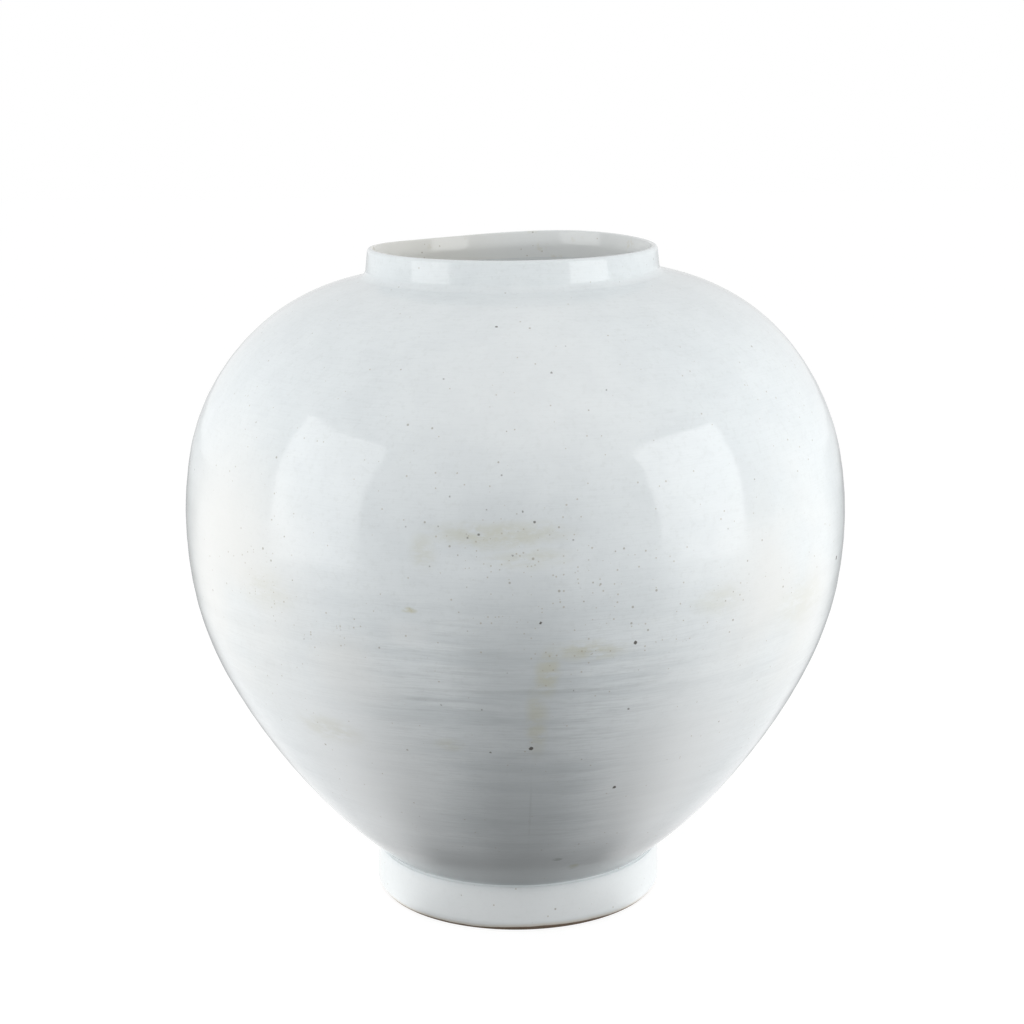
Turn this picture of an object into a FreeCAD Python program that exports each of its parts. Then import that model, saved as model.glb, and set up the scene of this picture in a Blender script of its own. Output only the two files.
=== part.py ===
import FreeCAD, Part
import math
import os
import Sketcher

# Korean moon jar, in millimetres, +Z up, with its origin at the centre of the foot's seat.
# Two thrown bowls are luted rim to rim, and a foot ring and a mouth collar are luted to them.
# Every piece is turned about Z from a section whose x is the radius and whose y is the height.

V = FreeCAD.Vector

# Driving sizes

SIZES = [
    ("foot_radius", 98, "widest radius of the foot ring"),
    ("foot_height", 30, "height of the foot ring"),
    ("foot_wall", 13, "thickness of the foot ring at its widest"),
    ("foot_bulge_level", 7, "height at which the foot ring is widest"),
    ("foot_seat_inset", 3, "how far the seat's outer edge lies inside the widest radius"),
    ("foot_top_inset", 2, "how far the ring's top edge lies inside the widest radius"),
    ("foot_bevel", 3, "bevel of the seat's inner edge"),
    ("foot_slip", 1, "slip between the foot ring and the lower bowl"),
    ("foot_cove", 4, "reach of the slip's cove inside the foot"),
    ("crease_inset", 1.5, "step from the foot ring's top edge in to the bowl"),
    ("wall", 8, "thickness of both bowls' walls"),
    ("floor", 13, "thickness of the jar's floor"),
    ("floor_round", 55, "radius between the floor and the wall inside"),
    ("lower_arc", 406, "radius of the lower bowl's outline"),
    ("seam_level", 185, "height of the joint between the bowls"),
    ("waist_slip", 1.2, "slip between the bowls' rims"),
    ("tongue_width_share", 0.5, "width of the rim's tongue, of the wall"),
    ("tongue_depth_share", 0.35, "depth of the rim's tongue, of the wall"),
    ("belly_radius", 220, "widest radius of the jar"),
    ("belly_level", 261.5, "height at which the jar is widest"),
    ("belly_arc", 240, "radius of the outline round the belly"),
    ("shoulder_rise", 46, "height above the belly level at which the shoulder's arc begins"),
    ("shoulder_arc", 142, "radius of the shoulder's outline"),
    ("collar_radius", 97, "outer radius of the collar's base"),
    ("collar_height", 18.9, "height of the collar"),
    ("collar_wall", 7.5, "thickness of the collar's base"),
    ("collar_taper", 2, "how far the collar leans in over its height"),
    ("lip_round_share", 0.42, "rounding of the lip's two edges, of the lip's thickness"),
    ("collar_slip", 1, "slip between the collar and the upper bowl"),
    ("collar_cove", 4, "reach of the slip's cove round the collar"),
    ("cove_arc_share", 1.5, "radius of the coves' hollow, of the straight line across them"),
]

document = FreeCAD.newDocument("moon_jar")
sizes = document.addObject("Spreadsheet::Sheet", "sizes")
for row, (alias, size, meaning) in enumerate(SIZES, start=1):
    sizes.set(f"A{row}", meaning)
    sizes.set(f"B{row}", str(size))
    sizes.setAlias(f"B{row}", alias)
document.recompute()

# Places worked out from the driving sizes

BASE_LEVEL = "(sizes.foot_height + sizes.foot_slip)"
FLOOR_LEVEL = f"({BASE_LEVEL} + sizes.floor)"
FOOT_SEAT_RADIUS = "(sizes.foot_radius - sizes.foot_seat_inset)"
FOOT_TOP_RADIUS = "(sizes.foot_radius - sizes.foot_top_inset)"
FOOT_INNER_RADIUS = "(sizes.foot_radius - sizes.foot_wall)"
FOOT_BEVEL_RADIUS = f"({FOOT_INNER_RADIUS} + sizes.foot_bevel)"
BASE_RADIUS = f"({FOOT_TOP_RADIUS} - sizes.crease_inset)"
FOOT_COVE_RADIUS = f"({FOOT_INNER_RADIUS} - sizes.foot_cove)"
FOOT_COVE_LEVEL = "(sizes.foot_height - sizes.foot_cove)"
FOOT_COVE_CHORD = "sqrt(sizes.foot_cove ^ 2 + (sizes.foot_cove + sizes.foot_slip) ^ 2)"

# The belly's arc is centred level with the widest place, and the seam cuts it off below
BELLY_X = "(sizes.belly_radius - sizes.belly_arc)"
LOWER_RIM = "(sizes.seam_level - sizes.waist_slip / 2)"
UPPER_RIM = "(sizes.seam_level + sizes.waist_slip / 2)"
SEAM_RADIUS = f"({BELLY_X} + sqrt(sizes.belly_arc ^ 2 - (sizes.belly_level - sizes.seam_level) ^ 2))"
UPPER_DROP = f"(sizes.belly_level - {UPPER_RIM})"
UPPER_RIM_RADIUS = f"({BELLY_X} + sqrt(sizes.belly_arc ^ 2 - {UPPER_DROP} ^ 2))"
UPPER_RIM_INSIDE = f"({BELLY_X} + sqrt((sizes.belly_arc - sizes.wall) ^ 2 - {UPPER_DROP} ^ 2))"

# The rims' tongue and groove lie half a wall in from the outer face
TONGUE_RADIUS = f"({SEAM_RADIUS} - sizes.wall / 2)"
TONGUE_HALF = "(sizes.wall * sizes.tongue_width_share / 2)"
TONGUE_OUTSIDE = f"({TONGUE_RADIUS} + {TONGUE_HALF})"
TONGUE_INSIDE = f"({TONGUE_RADIUS} - {TONGUE_HALF})"
TONGUE_DEPTH = "(sizes.wall * sizes.tongue_depth_share)"

# The lower bowl's arc runs from the base's edge to the seam, with its centre inside the jar
CHORD_X = f"({SEAM_RADIUS} - {BASE_RADIUS})"
CHORD_Y = f"({LOWER_RIM} - {BASE_LEVEL})"
CHORD_SHIFT = f"sqrt(sizes.lower_arc ^ 2 / ({CHORD_X} ^ 2 + {CHORD_Y} ^ 2) - 1 / 4)"
LOWER_X = f"(({BASE_RADIUS} + {SEAM_RADIUS}) / 2 - {CHORD_SHIFT} * {CHORD_Y})"
LOWER_Y = f"(({BASE_LEVEL} + {LOWER_RIM}) / 2 + {CHORD_SHIFT} * {CHORD_X})"
LOWER_INNER_ARC = "(sizes.lower_arc - sizes.wall)"
LOWER_RIM_INSIDE = f"({LOWER_X} + sqrt({LOWER_INNER_ARC} ^ 2 - ({LOWER_Y} - {LOWER_RIM}) ^ 2))"

# The shoulder's arc is tangent to the belly's arc where it takes over
TURN_SINE = "(sizes.shoulder_rise / sizes.belly_arc)"
TURN_COSINE = f"sqrt(1 - {TURN_SINE} ^ 2)"
ARC_STEP = "(sizes.belly_arc - sizes.shoulder_arc)"
SHOULDER_X = f"({BELLY_X} + {ARC_STEP} * {TURN_COSINE})"
SHOULDER_Y = f"(sizes.belly_level + {ARC_STEP} * {TURN_SINE})"

# The collar stands on a flat seat, cut where the shoulder reaches the cove's outer edge
SEAT_RADIUS = "(sizes.collar_radius + sizes.collar_cove)"
SEAT_LEVEL = f"({SHOULDER_Y} + sqrt(sizes.shoulder_arc ^ 2 - ({SEAT_RADIUS} - {SHOULDER_X}) ^ 2))"
MOUTH_RADIUS = "(sizes.collar_radius - sizes.collar_wall)"
COLLAR_FOOT = f"({SEAT_LEVEL} + sizes.collar_slip)"
COLLAR_TOP = f"({COLLAR_FOOT} + sizes.collar_height)"
COVE_TOP = f"({COLLAR_FOOT} + sizes.collar_cove)"
COVE_TOP_RADIUS = "(sizes.collar_radius - sizes.collar_taper * sizes.collar_cove / sizes.collar_height)"
COVE_CHORD = f"sqrt(({SEAT_RADIUS} - {COVE_TOP_RADIUS}) ^ 2 + ({COVE_TOP} - {SEAT_LEVEL}) ^ 2)"
LIP_RADIUS = "(sizes.collar_radius - sizes.collar_taper)"
LIP_ROUND = "((sizes.collar_wall - sizes.collar_taper) * sizes.lip_round_share)"


def number(text):
    """The value of an expression of the sheet's sizes."""
    return float(sizes.evalExpression(text))


def spot(x, y):
    """A point of a section from two expressions, or None for a coordinate on an axis."""
    return V(number(x) if x else 0, number(y) if y else 0, 0)


def level_centre(level_end, other):
    """The centre of the arc through two points that is level with the first of them."""
    across = level_end.x - other.x
    up = level_end.y - other.y
    return V(level_end.x - (across ** 2 + up ** 2) / (2 * across), level_end.y, 0)


def hollow_centre(start, end, radius):
    """The centre of the arc of a given radius that runs anticlockwise from start to end."""
    chord = end - start
    offset = math.sqrt((radius / chord.Length) ** 2 - 1 / 4)
    return (start + end) * 0.5 + V(-chord.y, chord.x, 0) * offset


# How a sketch numbers the points of an edge, and its own two axes
START, END, CENTRE = range(1, 4)
RADIUS_AXIS, HEIGHT_AXIS = range(-1, -3, -1)


class Section:
    """A closed outline in a body's XZ plane, with each size bound to the sheet."""

    def __init__(self, name):
        self.body = document.addObject("PartDesign::Body", name)
        self.body.Label = name
        self.body.Placement = FreeCAD.Placement(V(0, 0, 0), FreeCAD.Rotation())
        self.sketch = self.body.newObject("Sketcher::SketchObject", name + "_section")
        planes = [feature for feature in self.body.Origin.OriginFeatures if feature.Role == "XZ_Plane"]
        self.sketch.AttachmentSupport = [(planes[0], "")]
        self.sketch.MapMode = "FlatFace"

    def line(self, start, end):
        return self.sketch.addGeometry(Part.LineSegment(start, end), False)

    def arc(self, centre, start, end):
        """An arc that runs anticlockwise from start to end."""
        first = math.atan2(start.y - centre.y, start.x - centre.x)
        last = math.atan2(end.y - centre.y, end.x - centre.x)
        if last < first:
            last += 2 * math.pi
        circle = Part.Circle(centre, V(0, 0, 1), (start - centre).Length)
        return self.sketch.addGeometry(Part.ArcOfCircle(circle, first, last), False)

    def fix(self, kind, *geometry):
        self.sketch.addConstraint(Sketcher.Constraint(kind, *geometry))

    def bind(self, kind, geometry, expression):
        """A dimension whose value is an expression of the sheet's sizes."""
        constraint = Sketcher.Constraint(kind, *geometry, number(expression))
        index = self.sketch.addConstraint(constraint)
        self.sketch.setExpression(f"Constraints[{index}]", expression)

    def place(self, edge, end, x=None, y=None):
        """Dimensions from the origin to a point of an edge, each where it is given."""
        if x is not None:
            self.bind("DistanceX", (RADIUS_AXIS, START, edge, end), x)
        if y is not None:
            self.bind("DistanceY", (RADIUS_AXIS, START, edge, end), y)

    def chain(self, edges, backward=(), smooth=()):
        """Join each edge to the next, tangent after those in smooth; some arcs run backward."""
        for edge, follower in zip(edges, edges[1:] + edges[:1]):
            leave = START if edge in backward else END
            enter = END if follower in backward else START
            self.fix("Tangent" if edge in smooth else "Coincident", edge, leave, follower, enter)

    def turn(self):
        """The solid of revolution of the section about the jar's axis."""
        document.recompute()
        if self.sketch.solve() != 0 or not self.sketch.FullyConstrained:
            raise RuntimeError(f"the section of {self.body.Name} is not fully set")
        solid = self.body.newObject("PartDesign::Revolution", self.body.Name + "_turned")
        solid.Profile = self.sketch
        solid.ReferenceAxis = (self.sketch, ["V_Axis"])
        solid.Angle = 360
        self.body.Tip = solid


# The foot ring swells low down, draws in to its top and has a bevelled seat

def foot_ring():
    section = Section("foot_ring")
    seat_inside = spot(FOOT_BEVEL_RADIUS, None)
    seat_outside = spot(FOOT_SEAT_RADIUS, None)
    bulge = spot("sizes.foot_radius", "sizes.foot_bulge_level")
    top_outside = spot(FOOT_TOP_RADIUS, "sizes.foot_height")
    top_inside = spot(FOOT_INNER_RADIUS, "sizes.foot_height")
    bevel_top = spot(FOOT_INNER_RADIUS, "sizes.foot_bevel")

    seat = section.line(seat_inside, seat_outside)
    heel = section.arc(level_centre(bulge, seat_outside), seat_outside, bulge)
    side = section.arc(level_centre(bulge, top_outside), bulge, top_outside)
    top = section.line(top_outside, top_inside)
    inside = section.line(top_inside, bevel_top)
    bevel = section.line(bevel_top, seat_inside)

    section.chain([seat, heel, side, top, inside, bevel])
    section.fix("PointOnObject", seat, START, RADIUS_AXIS)
    section.fix("Horizontal", seat)
    section.fix("Horizontal", top)
    section.fix("Vertical", inside)
    section.fix("Horizontal", heel, CENTRE, heel, END)
    section.fix("Horizontal", side, CENTRE, side, START)
    section.place(heel, START, x=FOOT_SEAT_RADIUS)
    section.place(heel, END, "sizes.foot_radius", "sizes.foot_bulge_level")
    section.place(side, END, FOOT_TOP_RADIUS, "sizes.foot_height")
    section.place(bevel, START, FOOT_INNER_RADIUS, "sizes.foot_bevel")
    section.place(bevel, END, x=FOOT_BEVEL_RADIUS)
    section.turn()


# The slip under the bowl's base, smoothed to a cove inside the foot

def foot_slip():
    section = Section("foot_slip")
    cove_arc = f"{FOOT_COVE_CHORD} * sizes.cove_arc_share"
    ring_inside = spot(FOOT_INNER_RADIUS, "sizes.foot_height")
    ring_outside = spot(FOOT_TOP_RADIUS, "sizes.foot_height")
    base_outside = spot(BASE_RADIUS, BASE_LEVEL)
    cove_inside = spot(FOOT_COVE_RADIUS, BASE_LEVEL)
    cove_low = spot(FOOT_INNER_RADIUS, FOOT_COVE_LEVEL)

    under = section.line(ring_inside, ring_outside)
    rim = section.line(ring_outside, base_outside)
    over = section.line(base_outside, cove_inside)
    cove = section.arc(hollow_centre(cove_low, cove_inside, number(cove_arc)), cove_low, cove_inside)
    neck = section.line(cove_low, ring_inside)

    section.chain([under, rim, over, cove, neck], backward=[cove])
    section.place(under, START, FOOT_INNER_RADIUS, "sizes.foot_height")
    section.place(under, END, FOOT_TOP_RADIUS, "sizes.foot_height")
    section.place(over, START, BASE_RADIUS, BASE_LEVEL)
    section.place(over, END, FOOT_COVE_RADIUS, BASE_LEVEL)
    section.place(neck, START, FOOT_INNER_RADIUS, FOOT_COVE_LEVEL)
    section.bind("Radius", (cove,), cove_arc)
    section.turn()


# The lower bowl is one arc from its base to the seam, with a grooved rim and a rounded floor

def lower_bowl():
    section = Section("lower_bowl")
    centre = spot(LOWER_X, LOWER_Y)
    inner_arc = number(LOWER_INNER_ARC)
    floor_round = number("sizes.floor_round")
    axis_low = spot(None, BASE_LEVEL)
    base_outside = spot(BASE_RADIUS, BASE_LEVEL)
    rim_outside = spot(SEAM_RADIUS, LOWER_RIM)
    groove_outside = spot(TONGUE_OUTSIDE, LOWER_RIM)
    groove_bottom = spot(TONGUE_RADIUS, f"{LOWER_RIM} - {TONGUE_DEPTH}")
    groove_inside = spot(TONGUE_INSIDE, LOWER_RIM)
    rim_inside = spot(LOWER_RIM_INSIDE, LOWER_RIM)
    axis_high = spot(None, FLOOR_LEVEL)

    round_level = axis_high.y + floor_round
    round_reach = math.sqrt((inner_arc - floor_round) ** 2 - (round_level - centre.y) ** 2)
    round_centre = V(centre.x + round_reach, round_level, 0)
    floor_edge = V(round_centre.x, axis_high.y, 0)
    wall_foot = centre + (round_centre - centre).normalize() * inner_arc

    base = section.line(axis_low, base_outside)
    outside = section.arc(centre, base_outside, rim_outside)
    outer_land = section.line(rim_outside, groove_outside)
    outer_flank = section.line(groove_outside, groove_bottom)
    inner_flank = section.line(groove_bottom, groove_inside)
    inner_land = section.line(groove_inside, rim_inside)
    inside = section.arc(centre, wall_foot, rim_inside)
    rounding = section.arc(round_centre, floor_edge, wall_foot)
    floor = section.line(floor_edge, axis_high)
    axis = section.line(axis_high, axis_low)

    rim = [outer_land, outer_flank, inner_flank, inner_land]
    section.chain(
        [base, outside, *rim, inside, rounding, floor, axis],
        backward=[inside, rounding],
        smooth=[inside, rounding],
    )
    section.fix("Coincident", inside, CENTRE, outside, CENTRE)
    section.fix("Horizontal", base)
    section.fix("Horizontal", outer_land)
    section.fix("Horizontal", inner_land)
    section.fix("Horizontal", floor)
    section.fix("PointOnObject", axis, START, HEIGHT_AXIS)
    section.fix("PointOnObject", axis, END, HEIGHT_AXIS)
    section.place(base, END, BASE_RADIUS, BASE_LEVEL)
    section.place(outside, END, SEAM_RADIUS, LOWER_RIM)
    section.place(outer_flank, START, x=TONGUE_OUTSIDE)
    section.place(inner_flank, START, TONGUE_RADIUS, f"{LOWER_RIM} - {TONGUE_DEPTH}")
    section.place(inner_land, START, TONGUE_INSIDE, LOWER_RIM)
    section.place(floor, END, y=FLOOR_LEVEL)
    section.bind("Radius", (outside,), "sizes.lower_arc")
    section.bind("Radius", (inside,), LOWER_INNER_ARC)
    section.bind("Radius", (rounding,), "sizes.floor_round")
    section.turn()


# The slip fills the gap between the rims, along their V

def waist_slip():
    section = Section("waist_slip")
    places = [
        (SEAM_RADIUS, LOWER_RIM),
        (UPPER_RIM_RADIUS, UPPER_RIM),
        (TONGUE_OUTSIDE, UPPER_RIM),
        (TONGUE_RADIUS, f"({UPPER_RIM} - {TONGUE_DEPTH})"),
        (TONGUE_INSIDE, UPPER_RIM),
        (UPPER_RIM_INSIDE, UPPER_RIM),
        (LOWER_RIM_INSIDE, LOWER_RIM),
        (TONGUE_INSIDE, LOWER_RIM),
        (TONGUE_RADIUS, f"({LOWER_RIM} - {TONGUE_DEPTH})"),
        (TONGUE_OUTSIDE, LOWER_RIM),
    ]
    points = [spot(x, y) for x, y in places]
    edges = [section.line(start, end) for start, end in zip(points, points[1:] + points[:1])]
    section.chain(edges)
    for edge, (x, y) in zip(edges, places):
        section.place(edge, START, x, y)
    section.turn()


# The upper bowl runs over the belly and the shoulder to a flat seat round its opening

def upper_bowl():
    section = Section("upper_bowl")
    belly = spot(BELLY_X, "sizes.belly_level")
    shoulder = spot(SHOULDER_X, SHOULDER_Y)
    outer_arc = number("sizes.belly_arc")
    inner_arc = outer_arc - number("sizes.wall")
    shoulder_inner = number("sizes.shoulder_arc") - number("sizes.wall")
    handover = spot(TURN_COSINE, TURN_SINE)
    rim_outside = spot(UPPER_RIM_RADIUS, UPPER_RIM)
    turn_outside = belly + handover * outer_arc
    seat_outside = spot(SEAT_RADIUS, SEAT_LEVEL)
    seat_inside = spot(MOUTH_RADIUS, SEAT_LEVEL)
    opening_drop = math.sqrt(shoulder_inner ** 2 - (seat_inside.x - shoulder.x) ** 2)
    opening_low = V(seat_inside.x, shoulder.y + opening_drop, 0)
    turn_inside = belly + handover * inner_arc
    rim_inside = spot(UPPER_RIM_INSIDE, UPPER_RIM)
    tongue_inside = spot(TONGUE_INSIDE, UPPER_RIM)
    tongue_tip = spot(TONGUE_RADIUS, f"{UPPER_RIM} - {TONGUE_DEPTH}")
    tongue_outside = spot(TONGUE_OUTSIDE, UPPER_RIM)

    belly_outside = section.arc(belly, rim_outside, turn_outside)
    shoulder_outside = section.arc(shoulder, turn_outside, seat_outside)
    seat = section.line(seat_outside, seat_inside)
    opening = section.line(seat_inside, opening_low)
    shoulder_inside = section.arc(shoulder, turn_inside, opening_low)
    belly_inside = section.arc(belly, rim_inside, turn_inside)
    inner_land = section.line(rim_inside, tongue_inside)
    inner_flank = section.line(tongue_inside, tongue_tip)
    outer_flank = section.line(tongue_tip, tongue_outside)
    outer_land = section.line(tongue_outside, rim_outside)

    rim = [inner_land, inner_flank, outer_flank, outer_land]
    section.chain(
        [belly_outside, shoulder_outside, seat, opening, shoulder_inside, belly_inside, *rim],
        backward=[shoulder_inside, belly_inside],
        smooth=[belly_outside, shoulder_inside],
    )
    section.fix("Coincident", belly_inside, CENTRE, belly_outside, CENTRE)
    section.fix("Coincident", shoulder_inside, CENTRE, shoulder_outside, CENTRE)
    section.fix("Horizontal", seat)
    section.fix("Vertical", opening)
    section.fix("Horizontal", inner_land)
    section.fix("Horizontal", outer_land)
    section.place(belly_outside, CENTRE, BELLY_X, "sizes.belly_level")
    section.place(belly_outside, END, y="sizes.belly_level + sizes.shoulder_rise")
    section.place(seat, START, x=SEAT_RADIUS)
    section.place(opening, START, x=MOUTH_RADIUS)
    section.place(inner_flank, START, TONGUE_INSIDE, UPPER_RIM)
    section.place(outer_flank, START, TONGUE_RADIUS, f"{UPPER_RIM} - {TONGUE_DEPTH}")
    section.place(outer_land, START, TONGUE_OUTSIDE, UPPER_RIM)
    section.bind("Radius", (belly_outside,), "sizes.belly_arc")
    section.bind("Radius", (belly_inside,), "sizes.belly_arc - sizes.wall")
    section.bind("Radius", (shoulder_outside,), "sizes.shoulder_arc")
    section.turn()


# The slip under the collar, smoothed to a cove outside

def collar_slip():
    section = Section("collar_slip")
    cove_arc = f"{COVE_CHORD} * sizes.cove_arc_share"
    seat_inside = spot(MOUTH_RADIUS, SEAT_LEVEL)
    seat_outside = spot(SEAT_RADIUS, SEAT_LEVEL)
    cove_top = spot(COVE_TOP_RADIUS, COVE_TOP)
    collar_outside = spot("sizes.collar_radius", COLLAR_FOOT)
    collar_inside = spot(MOUTH_RADIUS, COLLAR_FOOT)

    under = section.line(seat_inside, seat_outside)
    cove = section.arc(hollow_centre(cove_top, seat_outside, number(cove_arc)), cove_top, seat_outside)
    neck = section.line(cove_top, collar_outside)
    over = section.line(collar_outside, collar_inside)
    inside = section.line(collar_inside, seat_inside)

    section.chain([under, cove, neck, over, inside], backward=[cove])
    section.place(under, START, MOUTH_RADIUS, SEAT_LEVEL)
    section.place(under, END, SEAT_RADIUS, SEAT_LEVEL)
    section.place(neck, START, COVE_TOP_RADIUS, COVE_TOP)
    section.place(neck, END, "sizes.collar_radius", COLLAR_FOOT)
    section.place(over, END, MOUTH_RADIUS, COLLAR_FOOT)
    section.bind("Radius", (cove,), cove_arc)
    section.turn()


# The collar leans in a little outside, is upright inside and has a rounded lip

def mouth_collar():
    section = Section("mouth_collar")
    base_inside = spot(MOUTH_RADIUS, COLLAR_FOOT)
    base_outside = spot("sizes.collar_radius", COLLAR_FOOT)
    lip_outside = spot(LIP_RADIUS, COLLAR_TOP)
    lip_inside = spot(MOUTH_RADIUS, COLLAR_TOP)
    rounding = number(LIP_ROUND)

    lean = (lip_outside - base_outside).normalize()
    setback = rounding / math.tan(math.acos(lean.x) / 2)
    outer_end = lip_outside - lean * setback
    outer_top = lip_outside - V(setback, 0, 0)
    inner_top = lip_inside + V(rounding, 0, 0)
    inner_end = lip_inside - V(0, rounding, 0)

    base = section.line(base_inside, base_outside)
    outside = section.line(base_outside, outer_end)
    outer_edge = section.arc(outer_top - V(0, rounding, 0), outer_end, outer_top)
    lip = section.line(outer_top, inner_top)
    inner_edge = section.arc(inner_top - V(0, rounding, 0), inner_top, inner_end)
    inside = section.line(inner_end, base_inside)
    corner = section.sketch.addGeometry(Part.Point(lip_outside), True)

    section.chain(
        [base, outside, outer_edge, lip, inner_edge, inside],
        smooth=[outside, outer_edge, lip, inner_edge],
    )
    section.fix("Horizontal", base)
    section.fix("Horizontal", lip)
    section.fix("Vertical", inside)
    section.fix("PointOnObject", corner, START, outside)
    section.fix("PointOnObject", corner, START, lip)
    section.fix("Equal", outer_edge, inner_edge)
    section.place(base, START, MOUTH_RADIUS, COLLAR_FOOT)
    section.place(base, END, x="sizes.collar_radius")
    section.place(corner, START, LIP_RADIUS, COLLAR_TOP)
    section.bind("Radius", (outer_edge,), LIP_ROUND)
    section.turn()


for build_piece in (foot_ring, foot_slip, lower_bowl, waist_slip, upper_bowl, collar_slip, mouth_collar):
    build_piece()
document.recompute()

# Nothing is written unless every object is sound

for item in document.Objects:
    if "Invalid" in item.State or "Error" in item.State:
        raise RuntimeError(f"{item.Name} failed")
pieces = [item for item in document.Objects if item.TypeId == "PartDesign::Body"]
for piece in pieces:
    if piece.Shape.isNull() or not piece.Shape.isValid():
        raise RuntimeError(f"{piece.Label} has no sound shape")

os.makedirs("parts", exist_ok=True)
for piece in pieces:
    piece.Shape.exportStep(os.path.join("parts", piece.Label + ".step"))
    box = piece.Shape.optimalBoundingBox()
    print(f"{piece.Label}: {piece.Shape.Volume / 1000:.1f} cm3, z {box.ZMin:.2f} to {box.ZMax:.2f}")
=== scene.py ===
import math

import bpy
import numpy as np
from mathutils import Matrix, Vector


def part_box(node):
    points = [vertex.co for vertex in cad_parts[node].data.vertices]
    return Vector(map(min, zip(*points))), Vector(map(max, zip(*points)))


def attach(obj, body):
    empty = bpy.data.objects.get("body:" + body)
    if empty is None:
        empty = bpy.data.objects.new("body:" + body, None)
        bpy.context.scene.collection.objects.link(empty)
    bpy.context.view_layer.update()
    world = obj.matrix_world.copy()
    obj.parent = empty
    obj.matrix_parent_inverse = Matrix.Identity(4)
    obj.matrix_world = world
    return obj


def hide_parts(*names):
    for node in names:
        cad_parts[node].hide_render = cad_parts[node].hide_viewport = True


# A Korean moon jar: two thrown bowls, a foot ring and a collar luted together under a white glaze.
# Lengths are in metres. An azimuth is in degrees from the front (-Y), positive to the right.

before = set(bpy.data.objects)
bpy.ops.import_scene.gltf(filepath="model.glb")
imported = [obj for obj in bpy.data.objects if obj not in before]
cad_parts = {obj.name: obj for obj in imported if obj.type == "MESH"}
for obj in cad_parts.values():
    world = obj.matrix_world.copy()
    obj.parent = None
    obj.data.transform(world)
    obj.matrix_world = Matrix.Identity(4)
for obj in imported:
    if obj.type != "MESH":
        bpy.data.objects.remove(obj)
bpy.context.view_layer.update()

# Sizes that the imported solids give

FOOT_RADIUS, _, FOOT_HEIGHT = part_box("foot_ring")[1]
BASE_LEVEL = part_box("lower_bowl")[0].z
SEAM_RADIUS, _, LOWER_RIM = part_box("lower_bowl")[1]
UPPER_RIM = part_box("waist_slip")[1].z
BELLY_RADIUS, _, SEAT_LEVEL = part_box("upper_bowl")[1]
COVE_RADIUS, _, COVE_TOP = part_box("collar_slip")[1]
COLLAR_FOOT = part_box("mouth_collar")[0].z
COLLAR_RADIUS, _, COLLAR_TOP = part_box("mouth_collar")[1]

# The other sizes of the section

FOOT_SEAT_INSET = 0.003
FOOT_TOP_INSET = 0.002
FOOT_BULGE_LEVEL = 0.007
FOOT_WALL = 0.013
FOOT_BEVEL = 0.003
FOOT_COVE = 0.004
CREASE_INSET = 0.0015
WALL = 0.008
FLOOR = 0.013
FLOOR_ROUND = 0.055
LOWER_ARC = 0.406
BELLY_ARC = 0.240
BELLY_LEVEL = 0.2615
SHOULDER_RISE = 0.046
SHOULDER_ARC = 0.142
TONGUE_DEPTH = 0.0028
COLLAR_WALL = 0.0075
COLLAR_TAPER = 0.002
LIP_ROUND = 0.0023
LIP_FLARE = 0.0030
COVE_ARC_SHARE = 1.5
BEAD_REACH = 0.0018
BEAD_HALF_HEIGHT = 0.0035
SEAT_STEP = 0.0002

# The mouth's inner edge curves from level at the lip to upright: its tilt in degrees by the run down it

LIP_RUN = 0.012
LIP_STEPS = 48
LIP_TILT_RUNS = [0, 0.0012, 0.0070, 0.0120]
LIP_TILTS = [90, 20, 16, 0]

MOUTH_RADIUS = COLLAR_RADIUS - COLLAR_WALL
FLOOR_LEVEL = BASE_LEVEL + FLOOR
FOOT_INNER_RADIUS = FOOT_RADIUS - FOOT_WALL
FOOT_SEAT_RADIUS = FOOT_RADIUS - FOOT_SEAT_INSET
FOOT_TOP_RADIUS = FOOT_RADIUS - FOOT_TOP_INSET
FOOT_COVE_RADIUS = FOOT_INNER_RADIUS - FOOT_COVE

# How finely the meshes are cut

COLUMNS = 336
FINE = 0.0005
MEDIUM = 0.0012
BROAD = 0.002
COARSE = 0.003
SHARP_TURN = math.radians(18)

# The hand-made unevenness, with the levels between which its parts set in

RIM_RISE = (0.395, 0.437)
NECK_RISE = (0.33, 0.405)
NECK_FALL = (0.418, 0.430)
FOOT_FREE = (0.03, 0.06)

# The rim's high and low sides and the neck's high one: height, azimuth and spread in degrees
RIM_HIGH = (0.0017, 150, 34)
RIM_LOW = (0.0021, -142, 36)
NECK_HIGH = (0.0022, 90, 45)

# The belly's oval: how far up and down it spreads, how far it stands out, and its long way's azimuth
BELLY_SPREAD = 0.12
OVAL_WIDTH = 0.0008
OVAL_AZIMUTH = 30

# How far from the seam, and from the foot of the collar's cove, the kinks there are rubbed round
SEAM_RUB = 0.025
COVE_RUB = 0.006

# Nearer to the axis than this, widening fades out
SHARE_RADIUS = 0.05

# Dents all over: depth, wavelength and seed
DENTS = [(0.0003, 0.11, 5), (0.0001, 0.035, 6)]
SWELL_WAVES = 14
SWELL_PEAK = 1.5

# Throwing rings inside and turning marks outside: height, pitch and the levels over which they fade
RING_HEIGHT, RING_PITCH = 0.00045, 0.0105
RING_FADE = (0.395, 0.41)
MARK_HEIGHT, MARK_PITCH = 0.00005, 0.015
MARK_FADE = (0.38, 0.40)
SEAM_FADE = (0.004, 0.02)

# The photograph's camera, found by fitting the jar's outline, with its frame 1024 pixels wide

FRAME_PIXELS = 1024
FOCAL_PIXELS = 2137
SENSOR_MILLIMETRES = 36
CAMERA_DISTANCE = 1.442
CAMERA_ELEVATION = math.radians(12.9)
CAMERA_ROLL = math.radians(0.6)
CAMERA_CLIP = (0.05, 50)
AIM = Vector((-0.002, 0, 0.2605))

# The studio: two softboxes, and two low boards on each side that the glaze doesn't mirror

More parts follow.
